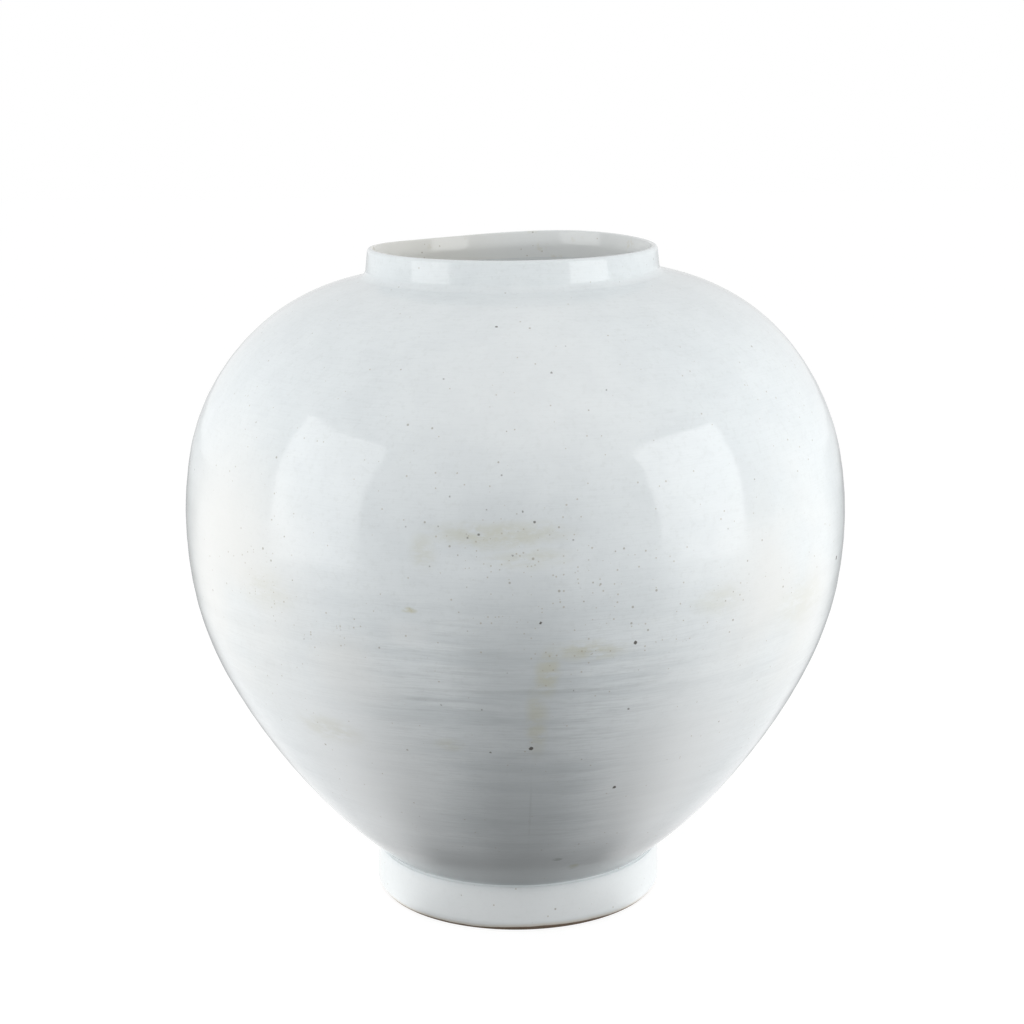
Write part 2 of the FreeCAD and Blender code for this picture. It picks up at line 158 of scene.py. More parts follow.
SOFTBOX_WIDTH = 0.72
SOFTBOX_HEIGHT = 0.98
SOFTBOX_DISTANCE = 1.2
SOFTBOX_ELEVATION = math.radians(13)
BOARD_WIDTH = 0.5
BOARD_HEIGHT = 0.25
BOARD_DISTANCE = 0.70
BOARD_LEVEL = 0.14
BOARD_AIM = 0.18

# Each lamp's azimuth, and its brightness, where 1 is white
SOFTBOXES = {"softbox_left": (-66, 1.8), "softbox_right": (60, 2.25)}
BOARDS = {
    "board_left_front": (-62, 0.69),
    "board_left": (-80, 0.62),
    "board_right_front": (62, 0.65),
    "board_right": (80, 0.42),
}

# The floor lights the jar from its sides, and from far away. Shares are climbed between two limits.

FLOOR_REACH = 6.0
FLOOR_FRONT_GLOW = 0.16
FLOOR_SIDE_GLOW = 0.70
FLOOR_SIDE = (0.6, 0.9)
FLOOR_MIRRORED_GLOW = 0.15
FLOOR_FAR_GLOW = 0.62
FLOOR_FAR = (0.4, 2.6)
FLOOR_SEEN_GLOW = 0.83
FLOOR_SEEN_PALE = 0.25

# The room's walls, its ceiling, its left side, and the backdrop that the glaze mirrors

WALL_GLOW = 0.60
CEILING_GLOW = 0.10
CEILING = (0.3, 0.8)
LEFT_GLOW = 0.06
LEFT = (0.3, -0.9)
BACKDROP_GLOW = 0.30
BACKDROP = (-0.1, 0.5)
BACKDROP_MIDDLE = (0.95, 0.99)
BACKDROP_MIDDLE_DROP = -0.30


# The section's geometry, in points of radius and level

def point(radius, level):
    return np.array([radius, level])


def straight(start, end, step):
    """Points of a straight run from start up to, but not with, its end."""
    count = max(1, round(float(np.linalg.norm(end - start)) / step))
    return start + (end - start) * np.arange(count)[:, None] / count


def arc(centre, start, end, step):
    """Points of the shorter arc round centre from start up to, but not with, its end."""
    first = math.atan2(start[1] - centre[1], start[0] - centre[0])
    last = math.atan2(end[1] - centre[1], end[0] - centre[0])
    sweep = (last - first + math.pi) % math.tau - math.pi
    radius = float(np.linalg.norm(start - centre))
    count = max(1, round(radius * abs(sweep) / step))
    angles = first + sweep * np.arange(count) / count
    return centre + radius * np.stack([np.cos(angles), np.sin(angles)], 1)


def arc_centre(start, end, radius):
    """The centre, left of the way from start to end, of the arc of a given radius through both."""
    chord = end - start
    length = float(np.linalg.norm(chord))
    across = point(-chord[1], chord[0]) / length
    return (start + end) / 2 + across * math.sqrt(radius ** 2 - length ** 2 / 4)


def level_centre(level_end, other):
    """The centre of the arc through two points that is level with the first of them."""
    across, up = level_end - other
    return point(level_end[0] - (across ** 2 + up ** 2) / (2 * across), level_end[1])


def arc_at(centre, radius, level):
    """The point at a level on the outer side of an arc."""
    return point(centre[0] + math.sqrt(radius ** 2 - (level - centre[1]) ** 2), level)


BASE_EDGE = point(FOOT_TOP_RADIUS - CREASE_INSET, BASE_LEVEL)
BELLY_CENTRE = point(BELLY_RADIUS - BELLY_ARC, BELLY_LEVEL)
LOWER_EDGE = arc_at(BELLY_CENTRE, BELLY_ARC, LOWER_RIM)
UPPER_EDGE = arc_at(BELLY_CENTRE, BELLY_ARC, UPPER_RIM)
LOWER_CENTRE = arc_centre(BASE_EDGE, LOWER_EDGE, LOWER_ARC)
TURN_SINE = SHOULDER_RISE / BELLY_ARC
TURN = point(math.sqrt(1 - TURN_SINE ** 2), TURN_SINE)
SHOULDER_CENTRE = BELLY_CENTRE + TURN * (BELLY_ARC - SHOULDER_ARC)
LOWER_INNER = arc_at(LOWER_CENTRE, LOWER_ARC - WALL, LOWER_RIM)
UPPER_INNER = arc_at(BELLY_CENTRE, BELLY_ARC - WALL, UPPER_RIM)
LOWER_NORMAL = (LOWER_EDGE - LOWER_CENTRE) / LOWER_ARC
UPPER_NORMAL = (UPPER_EDGE - BELLY_CENTRE) / BELLY_ARC
SEAM_KINK = math.atan2(*UPPER_NORMAL[::-1]) - math.atan2(*LOWER_NORMAL[::-1])
COLLAR_LEAN = COLLAR_TAPER / (COLLAR_TOP - COLLAR_FOOT)
COVE_LOW = point(COVE_RADIUS, SEAT_LEVEL)
COVE_HIGH = point(COLLAR_RADIUS - COLLAR_LEAN * (COVE_TOP - COLLAR_FOOT), COVE_TOP)
COVE_ARC = COVE_ARC_SHARE * float(np.linalg.norm(COVE_LOW - COVE_HIGH))
COVE_CENTRE = arc_centre(COVE_HIGH, COVE_LOW, COVE_ARC)
COVE_WAY = COVE_CENTRE - COVE_LOW
SHOULDER_WAY = COVE_LOW - SHOULDER_CENTRE
COVE_KINK = COVE_WAY[0] / COVE_WAY[1] - SHOULDER_WAY[0] / SHOULDER_WAY[1]
TONGUE_RADIUS = SEAM_RADIUS - WALL / 2
TONGUE_HALF_WIDTH = WALL / 4


# The hand-made unevenness that all the pieces share

def hump(azimuth, height, middle, spread):
    """A height at one azimuth, falling smoothly to 0 on both sides of it."""
    away = (azimuth - middle + 180) % 360 - 180
    return height * np.exp(-((away / spread) ** 2))


def climb(value, low, high):
    """0 below low and 1 above high, with a smooth climb between them."""
    share = np.clip((value - low) / (high - low), 0, 1)
    return share * share * (3 - 2 * share)


def swell(places, wavelength, seed):
    """Smooth unevenness in space, of about -1 to 1, from plane waves in random directions."""
    draw = np.random.default_rng(seed)
    waves = draw.normal(size=(SWELL_WAVES, 3))
    waves *= math.tau / wavelength / np.linalg.norm(waves, axis=1)[:, None]
    shifts = draw.uniform(0, math.tau, SWELL_WAVES)
    return np.sin(places @ waves.T + shifts).mean(1) * math.sqrt(SWELL_WAVES) / SWELL_PEAK


def uneven(places):
    """The jar's places moved as its maker's hand and the kiln moved them."""
    x, y, level = places.T
    radius = np.hypot(x, y)
    azimuth = np.degrees(np.arctan2(x, -y))
    rim = climb(level, *RIM_RISE)
    neck = climb(level, *NECK_RISE) * (1 - climb(level, *NECK_FALL))
    belly = np.exp(-(((level - BELLY_LEVEL) / BELLY_SPREAD) ** 2))
    lift = rim * (hump(azimuth, *RIM_HIGH) - hump(azimuth, *RIM_LOW))
    lift += neck * hump(azimuth, *NECK_HIGH)
    wide = belly * OVAL_WIDTH * np.cos(np.radians(2 * (azimuth - OVAL_AZIMUTH)))
    dents = sum(depth * swell(places, wavelength, seed) for depth, wavelength, seed in DENTS)
    wide += climb(level, *FOOT_FREE) * dents

    # Rubbing takes up half of a kink on each side of the seam and of the foot of the collar's cove
    near_seam = np.maximum(SEAM_RUB - np.abs(level - (LOWER_RIM + UPPER_RIM) / 2), 0)
    wide -= SEAM_KINK / 4 / SEAM_RUB * near_seam ** 2
    near_cove = np.maximum(COVE_RUB - np.abs(radius - COVE_RADIUS), 0)
    near_cove = near_cove * (level > SEAT_LEVEL - COVE_RUB)
    lift += COVE_KINK / 4 / COVE_RUB * near_cove ** 2
    share = 1 + wide / np.maximum(radius, SHARE_RADIUS)
    return np.stack([x * share, y * share, level + lift], 1)


# A piece is turned from runs of points that go anticlockwise round its section. Each run is
# outside or inside, for its relief and its glaze.

OUTSIDE, INSIDE = 0, 1


def relief(section, face, angle):
    """How far each place stands proud: throwing rings inside, and faint turning marks outside."""
    level = section[:, 1:]
    inside = face[:, None] == INSIDE
    steps = np.linalg.norm(np.diff(section, axis=0), axis=1)
    length = np.concatenate([[0], np.cumsum(steps)])[:, None]
    from_seam = climb(np.abs(level - LOWER_RIM), *SEAM_FADE)
    rings = RING_HEIGHT * np.sin(math.tau * length / RING_PITCH + angle)
    rings = rings * from_seam * (1 - climb(level, *RING_FADE))
    marks = MARK_HEIGHT * np.sin(math.tau * length / MARK_PITCH - angle)
    marks = marks * from_seam * climb(level, *FOOT_FREE) * (1 - climb(level, *MARK_FADE))
    return np.where(inside, rings, marks)


def turned(node, slot, *runs):
    """Turn the glazed piece that stands for a CAD node from its section's runs."""
    section = np.concatenate([points for points, _ in runs])
    face = np.concatenate([np.full(len(points), side) for points, side in runs])
    before = section - np.roll(section, 1, 0)
    after = np.roll(section, -1, 0) - section
    turn = np.arctan2(after[:, 1], after[:, 0]) - np.arctan2(before[:, 1], before[:, 0])
    sharp = np.abs((turn + math.pi) % math.tau - math.pi) > SHARP_TURN
    along = before + after
    normal = point(along[:, 1], -along[:, 0]) / np.linalg.norm(along, axis=1)

    # A ring on the axis is a single point
    on_axis = section[:, 0] < FINE / 10
    counts = np.where(on_axis, 1, COLUMNS)
    column = np.arange(COLUMNS)
    angle = column * math.tau / COLUMNS
    proud = np.where((sharp | on_axis)[:, None], 0, relief(section, face, angle))
    radius = section[:, :1] + proud * normal[0][:, None]
    level = section[:, 1:] + proud * normal[1][:, None]
    grid = np.stack([radius * np.cos(angle), radius * np.sin(angle), level], 2)
    places = grid[column < counts[:, None]]

    starts = np.cumsum(counts) - counts
    here = starts[:, None] + np.where(on_axis[:, None], 0, column)
    above = np.roll(here, -1, 0)
    corners = np.stack([here, np.roll(here, -1, 1), np.roll(above, -1, 1), above], 2)
    corners = corners[~(on_axis & np.roll(on_axis, -1))]
    faces = [list(dict.fromkeys(quad)) for quad in corners.reshape(-1, 4).tolist()]

    mesh = bpy.data.meshes.new(node + "_glazed")
    mesh.from_pydata(uneven(places).tolist(), [], faces)
    mesh.shade_smooth()
    ring_of = np.repeat(np.arange(len(section)), counts)
    ends = np.zeros(len(mesh.edges) * 2, np.int32)
    mesh.edges.foreach_get("vertices", ends)
    rings = ring_of[ends.reshape(-1, 2)]
    mesh.edges.foreach_set("use_edge_sharp", (rings[:, 0] == rings[:, 1]) & sharp[rings[:, 0]])
    inner = mesh.attributes.new("inside", "FLOAT", "POINT")
    inner.data.foreach_set("value", face[ring_of].astype(np.float32))
    mesh.update()

    piece = bpy.data.objects.new(node + "_glazed", mesh)
    bpy.context.scene.collection.objects.link(piece)
    mesh.materials.append(GLAZE)
    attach(piece, "root")
    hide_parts(node)


# The pieces, from the foot up

def tongue(rim):
    """The tongue's two shoulders at a rim, with its tip between them, from the outside in."""
    across = point(TONGUE_HALF_WIDTH, 0)
    middle = point(TONGUE_RADIUS, rim)
    return middle + across, middle - point(0, TONGUE_DEPTH), middle - across


def foot_ring():
    seat_inside = point(FOOT_INNER_RADIUS + FOOT_BEVEL, 0)
    seat_outside = point(FOOT_SEAT_RADIUS, 0)
    bulge = point(FOOT_RADIUS, FOOT_BULGE_LEVEL)
    top_outside = point(FOOT_TOP_RADIUS, FOOT_HEIGHT)
    top_inside = point(FOOT_INNER_RADIUS, FOOT_HEIGHT)
    bevel_top = point(FOOT_INNER_RADIUS, FOOT_BEVEL)
    turned(
        "foot_ring", "glaze",
        (straight(seat_inside, seat_outside, MEDIUM), OUTSIDE),
        (arc(level_centre(bulge, seat_outside), seat_outside, bulge, FINE), OUTSIDE),
        (arc(level_centre(bulge, top_outside), bulge, top_outside, MEDIUM), OUTSIDE),
        (straight(top_outside, top_inside, COARSE), OUTSIDE),
        (straight(top_inside, bevel_top, MEDIUM), OUTSIDE),
        (straight(bevel_top, seat_inside, FINE), OUTSIDE),
    )


def foot_slip():
    ring_inside = point(FOOT_INNER_RADIUS, FOOT_HEIGHT)
    ring_outside = point(FOOT_TOP_RADIUS, FOOT_HEIGHT)
    cove_inside = point(FOOT_COVE_RADIUS, BASE_LEVEL)
    cove_low = point(FOOT_INNER_RADIUS, FOOT_HEIGHT - FOOT_COVE)
    cove_arc = COVE_ARC_SHARE * float(np.linalg.norm(cove_inside - cove_low))
    crease_arc = COVE_ARC_SHARE * float(np.linalg.norm(BASE_EDGE - ring_outside))
    turned(
        "foot_slip", "slip",
        (straight(ring_inside, ring_outside, COARSE), OUTSIDE),
        (arc(arc_centre(BASE_EDGE, ring_outside, crease_arc), ring_outside, BASE_EDGE, FINE), OUTSIDE),
        (straight(BASE_EDGE, cove_inside, COARSE), OUTSIDE),
        (arc(arc_centre(cove_low, cove_inside, cove_arc), cove_inside, cove_low, FINE), OUTSIDE),
        (straight(cove_low, ring_inside, MEDIUM), OUTSIDE),
    )


def lower_bowl():
    inner_arc = LOWER_ARC - WALL
    round_level = FLOOR_LEVEL + FLOOR_ROUND
    round_centre = arc_at(LOWER_CENTRE, inner_arc - FLOOR_ROUND, round_level)
    floor_edge = point(round_centre[0], FLOOR_LEVEL)
    outward = round_centre - LOWER_CENTRE
    wall_foot = LOWER_CENTRE + outward / np.linalg.norm(outward) * inner_arc
    groove_outside, groove_bottom, groove_inside = tongue(LOWER_RIM)
    axis_low = point(0, BASE_LEVEL)
    axis_high = point(0, FLOOR_LEVEL)
    turned(
        "lower_bowl", "glaze",
        (straight(axis_low, BASE_EDGE, COARSE), OUTSIDE),
        (arc(LOWER_CENTRE, BASE_EDGE, LOWER_EDGE, COARSE), OUTSIDE),
        (straight(LOWER_EDGE, groove_outside, COARSE), OUTSIDE),
        (straight(groove_outside, groove_bottom, COARSE), OUTSIDE),
        (straight(groove_bottom, groove_inside, COARSE), INSIDE),
        (straight(groove_inside, LOWER_INNER, COARSE), INSIDE),
        (arc(LOWER_CENTRE, LOWER_INNER, wall_foot, BROAD), INSIDE),
        (arc(round_centre, wall_foot, floor_edge, BROAD), INSIDE),
        (straight(floor_edge, axis_high, BROAD), INSIDE),
        (axis_high[None, :], INSIDE),
    )


def waist_slip():
    middle = (LOWER_RIM + UPPER_RIM) / 2
    bead_top = arc_at(BELLY_CENTRE, BELLY_ARC - WALL, middle + BEAD_HALF_HEIGHT)
    bead_low = arc_at(LOWER_CENTRE, LOWER_ARC - WALL, middle - BEAD_HALF_HEIGHT)
    bead_arc = (BEAD_HALF_HEIGHT ** 2 + BEAD_REACH ** 2) / (2 * BEAD_REACH)
    bead_centre = arc_centre(bead_top, bead_low, bead_arc)
    turned(
        "waist_slip", "slip",
        (straight(LOWER_EDGE, UPPER_EDGE, MEDIUM), OUTSIDE),
        (UPPER_EDGE[None, :], OUTSIDE),
        (np.array([*tongue(UPPER_RIM), UPPER_INNER]), INSIDE),
        (arc(bead_centre, bead_top, bead_low, FINE), INSIDE),
        (np.array([bead_low, LOWER_INNER, *tongue(LOWER_RIM)[::-1]]), INSIDE),
    )


def upper_bowl():
    turn_outside = BELLY_CENTRE + TURN * BELLY_ARC
    turn_inside = BELLY_CENTRE + TURN * (BELLY_ARC - WALL)
    seat_edge = COVE_LOW - point(SEAT_STEP, SEAT_STEP)
    seat_inside = point(MOUTH_RADIUS, SEAT_LEVEL)
    tongue_outside, tongue_tip, tongue_inside = tongue(UPPER_RIM)
    drop = math.sqrt((SHOULDER_ARC - WALL) ** 2 - (MOUTH_RADIUS - SHOULDER_CENTRE[0]) ** 2)
    opening_low = point(MOUTH_RADIUS, SHOULDER_CENTRE[1] + drop)
    turned(
        "upper_bowl", "glaze",
        (arc(BELLY_CENTRE, UPPER_EDGE, turn_outside, COARSE), OUTSIDE),
        (arc(SHOULDER_CENTRE, turn_outside, COVE_LOW, COARSE), OUTSIDE),
        (straight(COVE_LOW, seat_edge, COARSE), OUTSIDE),
        (straight(seat_edge, seat_inside, COARSE), OUTSIDE),
        (straight(seat_inside, opening_low, MEDIUM), INSIDE),
        (arc(SHOULDER_CENTRE, opening_low, turn_inside, BROAD), INSIDE),
        (arc(BELLY_CENTRE, turn_inside, UPPER_INNER, BROAD), INSIDE),
        (straight(UPPER_INNER, tongue_inside, COARSE), INSIDE),
        (straight(tongue_inside, tongue_tip, COARSE), INSIDE),
        (straight(tongue_tip, tongue_outside, COARSE), OUTSIDE),
        (straight(tongue_outside, UPPER_EDGE, COARSE), OUTSIDE),
    )


def collar_slip():
    seat_inside = point(MOUTH_RADIUS, SEAT_LEVEL)
    turned(
        "collar_slip", "slip",
        (straight(seat_inside, COVE_LOW, COARSE), OUTSIDE),
        (arc(COVE_CENTRE, COVE_LOW, COVE_HIGH, FINE), OUTSIDE),
        (straight(COVE_HIGH, point(COLLAR_RADIUS, COLLAR_FOOT), MEDIUM), OUTSIDE),
        (straight(point(COLLAR_RADIUS, COLLAR_FOOT), point(MOUTH_RADIUS, COLLAR_FOOT), COARSE), OUTSIDE),
        (straight(point(MOUTH_RADIUS, COLLAR_FOOT), seat_inside, MEDIUM), INSIDE),
    )


def mouth_collar():
    base_inside = point(MOUTH_RADIUS, COLLAR_FOOT)
    base_outside = point(COLLAR_RADIUS, COLLAR_FOOT)
    lip_outside = point(COLLAR_RADIUS - COLLAR_TAPER, COLLAR_TOP)
    lean = (lip_outside - base_outside) / np.linalg.norm(lip_outside - base_outside)
    setback = LIP_ROUND / math.tan(math.acos(lean[0]) / 2)
    outer_end = lip_outside - lean * setback
    outer_top = lip_outside - point(setback, 0)
    down = point(0, LIP_ROUND)
    stride = LIP_RUN / LIP_STEPS
    tilt = np.interp((np.arange(LIP_STEPS) + 0.5) * stride, LIP_TILT_RUNS, np.radians(LIP_TILTS))
    inward = np.concatenate([[0], np.cumsum(np.sin(tilt))]) / np.sin(tilt).sum() * LIP_FLARE
    fall = np.concatenate([[0], np.cumsum(np.cos(tilt))]) * stride
    flare = np.stack([MOUTH_RADIUS + LIP_FLARE - inward, COLLAR_TOP - fall], 1)
    turned(
        "mouth_collar", "glaze",
        (straight(base_inside, base_outside, COARSE), OUTSIDE),
        (straight(base_outside, outer_end, MEDIUM), OUTSIDE),
        (arc(outer_top - down, outer_end, outer_top, FINE), OUTSIDE),
        (straight(outer_top, flare[0], FINE), OUTSIDE),
        (flare[:-1], INSIDE),
        (straight(flare[-1], base_inside, MEDIUM), INSIDE),
    )


# Shader nodes, linked as they are made

class Nodes:
    def __init__(self, tree):
        self.tree = tree
        tree.nodes.clear()

    def add(self, kind, inputs=(), **settings):
        """A node whose inputs are values, or outputs of other nodes that are linked to them."""
        node = self.tree.nodes.new(kind)
        for name, value in settings.items():
            setattr(node, name, value)
        for socket, value in dict(inputs).items():
            if isinstance(value, bpy.types.NodeSocket):
                self.tree.links.new(value, node.inputs[socket])
            else:
                node.inputs[socket].default_value = value
        return node

    def math(self, operation, *values):
        return self.add("ShaderNodeMath", enumerate(values), operation=operation).outputs[0]

    def product(self, *values):
        result = values[0]
        for value in values[1:]:
            result = self.math("MULTIPLY", result, value)
        return result

    def climb(self, value, low, high):
        """0 at low and 1 at high with a smooth climb, or the other way round where low is above high."""
        limits = {"Value": value, "From Min": low, "From Max": high}
        return self.add("ShaderNodeMapRange", limits, interpolation_type="SMOOTHSTEP").outputs["Result"]

    def noise(self, place, scale, detail, roughness):
        inputs = {"Vector": place, "Scale": scale, "Detail": detail, "Roughness": roughness}
        return self.add("ShaderNodeTexNoise", inputs).outputs["Fac"]

    def stretched(self, place, scale):
        inputs = {"Vector": place, "Scale": scale}
        return self.add("ShaderNodeMapping", inputs).outputs["Vector"]

    def mix(self, share, first, second):
        inputs = {0: share, 6: first, 7: second}
        return self.add("ShaderNodeMix", inputs, data_type="RGBA").outputs[2]


def colour(red, green, blue):
    return (red, green, blue, 1.0)


def grey(value):
    return colour(value, value, value)


# The glaze's noises: scale, or one for each axis where it is stretched, then detail and roughness,
# and the two values between which it is climbed into a soft mask
NOISES = {
    "drift": (6.0, 2.0, 0.5),
    "streaks": ((9.0, 9.0, 95.0), 5.0, 0.6, 0.44, 0.62),
    "lines": ((24.0, 24.0, 420.0), 4.0, 0.65, 0.46, 0.68),
    "hairs": ((60.0, 60.0, 1300.0), 3.0, 0.6, 0.44, 0.70),
    "patches": (16.0, 4.0, 0.6, 0.34, 0.62),
    "clouds": (7.0, 4.0, 0.55, 0.36, 0.68),
    "mottle": (42.0, 5.0, 0.65, 0.35, 0.70),
    "freckle": (330.0, 2.0, 0.6, 0.50, 0.75),
    "warm": (9.0, 3.0, 0.5, 0.25, 0.60),
    "blur": (30.0, 4.0, 0.6),
    "broken": ((60.0, 60.0, 150.0), 4.0, 0.7, 0.28, 0.60),
    "blotches": (60.0, 4.0, 0.65, 0.60, 0.74),
    "crowding": (11.0, 2.0, 0.5, 0.45, 0.7),
    "speck_edge": (900.0, 1.0, 0.5),
    "glaze_edge": (24.0, 4.0, 0.6),
    "brushed_edge": (55.0, 4.0, 0.7),
    "grain": (600.0, 3.0, 0.6),
    "peel": (170.0, 2.0, 0.5),
    "waves": (34.0, 2.0, 0.5),
}

# The glaze's white, and what lies over it: how strongly each shows at most, and its colour
WHITE = (0.82, 0.865, 0.88)
LAYERS = {
    "clouds": (0.45, (0.75, 0.80, 0.825)),
    "mottle": (0.29, (0.69, 0.735, 0.755)),
    "freckle": (0.16, (0.58, 0.61, 0.60)),
    "streaks": (0.40, (0.57, 0.62, 0.64)),
    "lines": (0.36, (0.485, 0.52, 0.53)),
    "hairs": (0.24, (0.49, 0.52, 0.535)),
    "warm": (0.75, (0.83, 0.83, 0.805)),
    # pale also carries painted light on the lower flanks
    "pale": (0.70, (0.90, 0.925, 0.93)),
    # grey also carries painted shade on the lower front
    "grey": (0.56, (0.47, 0.505, 0.52)),
    # Painted shade: a grey band round the crease above the foot
    "painted_crease_shade": (0.70, (0.45, 0.48, 0.49)),
    "seams": (0.55, (0.40, 0.43, 0.43)),
    "ochre": (0.62, (0.57, 0.565, 0.42)),
    # Painted light: the foot painted whiter
    "foot": (0.55, (0.93, 0.955, 0.955)),
    "inside": (0.85, (0.91, 0.935, 0.93)),
    "inside_left": (0.5, (0.95, 0.925, 0.84)),
    "blotches": (0.40, (0.66, 0.62, 0.44)),
    "finest_specks": (0.42, (0.36, 0.30, 0.20)),
    "fine_specks": (0.55, (0.30, 0.26, 0.20)),
    "iron_specks": (0.92, (0.085, 0.075, 0.065)),
    "thin": (0.60, (0.74, 0.68, 0.55)),
}
DARK_CLAY = (0.15, 0.105, 0.075)
PALE_CLAY = (0.32, 0.24, 0.17)

# The levels between which a change of the glaze is climbed, and the warmer left's places along X
BRUSHED_TOP = (0.285, 0.215)
BRUSHED_FOOT = (0.024, 0.040)
# Painted shade round the crease above the foot, climbed in between these levels
CREASE_SHADE_TOP = (0.086, 0.048)
CREASE_SHADE_FOOT = (0.028, 0.036)
# Painted light: the foot is painted whiter below these levels
FOOT_PAINTED_LIGHT = (0.034, 0.024)
INSIDE_LEFT = (0.02, -0.07)

# How strong the brush marks are at least, how far they run off level, and the hairs' share beyond them
BRUSHED_LEAST = 0.3
BRUSH_DRIFT = 0.010
HAIRS_EVERYWHERE = 0.25

# A stain's soft edge, as shares of its half width, and how far a noise shakes it, round and up
STAIN_EDGE = (1.1, 0.2)
STAIN_TURN_BLUR = 3.0
STAIN_LEVEL_BLUR = 0.008

# The glaze's edge at the foot, how far it waves and rises in front, and the climbs over it
BARE_LEVEL = -0.0002
BARE_WAVE = 0.0036
BARE_FRONT_RISE = 0.0014
THIN_GLAZE = (0.0030, 0.0002)
BARE_CLAY = (0.0003, -0.0003)

# Under the two highlights the glaze is duller, below a ragged line and between these azimuths
DULL_TOP = (0.2945, 0.2895)
DULL_FOOT = (0.150, 0.230)
DULL_NEAR = (8, 18)
DULL_FAR = (62, 48)
DULL_WAVE = 0.016

# The glaze's roughness, and what marks, the dull patches and bare clay add to it
ROUGHNESS = 0.09
STREAK_ROUGHNESS = 0.05
DULL_ROUGHNESS = 0.12
BARE_ROUGHNESS = 0.7
GLAZE_IOR = 1.5

# The surface's heights, in millimetres
MILLIMETRE = 0.001
PEEL_HEIGHT = 0.018
LINE_HEIGHT = 0.022
HAIR_HEIGHT = 0.010
WAVE_HEIGHT = 0.060
GRAIN_HEIGHT = 0.25

# Fine specks: cells to a metre, a speck's size in its cell, and the share of cells that have one
FINE_CELLS, FINE_SIZE = 210.0, 0.11
FINEST_CELLS, FINEST_SIZE, FINEST_SHARE = 480.0, 0.20, 0.7
SPECKS_ANYWHERE = 0.026
SPECKS_IN_CROWDS = 0.30
SPECKS_IN_PATCHES = 0.030
SCATTER_BLUR = 0.04

# Iron specks: how ragged and how soft their edges are, and their strength to a metre of diameter
SPECK_WAVE = 0.0010
SPECK_BLUR = 0.00025
SPECK_STRENGTH = 550

# Marks in the glaze: as the photograph shows them in front, and guessed at the back. Azimuths are in
# degrees, and lengths are in metres.

# Iron specks: azimuth, level and diameter
IRON_SPECKS = [
    (2.3, 0.161, 0.0028), (19.5, 0.125, 0.0024), (18.5, 0.229, 0.0025), (3.6, 0.245, 0.0020),
    (69.3, 0.246, 0.0030), (-5.6, 0.297, 0.0015), (-7.3, 0.295, 0.0012), (-0.5, 0.285, 0.0013),
    (-11.8, 0.301, 0.0010), (-17.0, 0.300, 0.0009), (-13.1, 0.278, 0.0010), (-36.0, 0.224, 0.0012),
    (-28.4, 0.234, 0.0010), (-1.5, 0.214, 0.0010), (-12.4, 0.191, 0.0011), (-5.8, 0.189, 0.0010),
    (-4.8, 0.158, 0.0014), (1.1, 0.310, 0.0013), (2.9, 0.304, 0.0015), (8.7, 0.293, 0.0013),
    (9.7, 0.265, 0.0013), (10.4, 0.251, 0.0011), (4.7, 0.214, 0.0010), (2.5, 0.211, 0.0010),
    (8.9, 0.201, 0.0011), (18.5, 0.185, 0.0013), (27.3, 0.226, 0.0011), (24.9, 0.234, 0.0010),
    (28.0, 0.242, 0.0011), (22.4, 0.254, 0.0010), (39.1, 0.260, 0.0012), (17.0, 0.373, 0.0010),
    (7.2, 0.383, 0.0013), (34.9, 0.290, 0.0014), (11.1, 0.396, 0.0010), (-4.1, 0.406, 0.0016),
    (-13.4, 0.380, 0.0010), (-4.4, 0.311, 0.0010), (-2.1, 0.330, 0.0011), (-10.2, 0.318, 0.0010),
    (154.0, 0.233, 0.0022), (-121.0, 0.287, 0.0016), (104.0, 0.158, 0.0017), (-163.0, 0.171, 0.0015),
    (171.0, 0.331, 0.0014), (-95.0, 0.205, 0.0020), (-72.0, 0.306, 0.0013), (122.0, 0.268, 0.0014),
]

# Soft stains: azimuth, level, half width in degrees, half height and strength
WARM_CLOUDS = [
    (-56.0, 0.255, 26.0, 0.110, 1.0),
    (50.0, 0.240, 24.0, 0.110, 0.9),
    (-28.0, 0.210, 12.0, 0.030, 0.6),
    (165.0, 0.270, 34.0, 0.090, 0.8),
    (-120.0, 0.180, 22.0, 0.070, 0.7),
]
BRUSHED = [
    (0.0, 0.160, 48.0, 0.190, 1.0),
    (145.0, 0.170, 42.0, 0.170, 0.9),
    (-130.0, 0.160, 44.0, 0.170, 0.9),
]
OCHRE_STAINS = [
    (-3.0, 0.2965, 13.0, 0.0100, 0.75),
    (-14.3, 0.2860, 2.6, 0.0150, 0.45),
    (2.0, 0.2830, 8.0, 0.0070, 0.45),
    (11.0, 0.2265, 8.0, 0.0075, 0.85),
    (4.9, 0.2140, 2.4, 0.0200, 0.85),
    (3.2, 0.1800, 2.4, 0.0300, 0.70),
    (-12.0, 0.1620, 3.5, 0.0060, 0.45),
    (33.0, 0.2480, 6.0, 0.0120, 0.36),
    (-43.5, 0.2500, 8.0, 0.0160, 0.30),
    (54.0, 0.2320, 11.0, 0.0220, 0.30),
    (-36.0, 0.1620, 9.0, 0.0140, 0.45),
    (-16.7, 0.2500, 1.5, 0.0022, 2.20),
    (17.6, 0.0500, 2.3, 0.0034, 0.90),
    (-128.0, 0.2620, 10.0, 0.0140, 0.50),
    (142.0, 0.2050, 8.0, 0.0120, 0.55),
    (96.0, 0.3150, 7.0, 0.0100, 0.40),
]
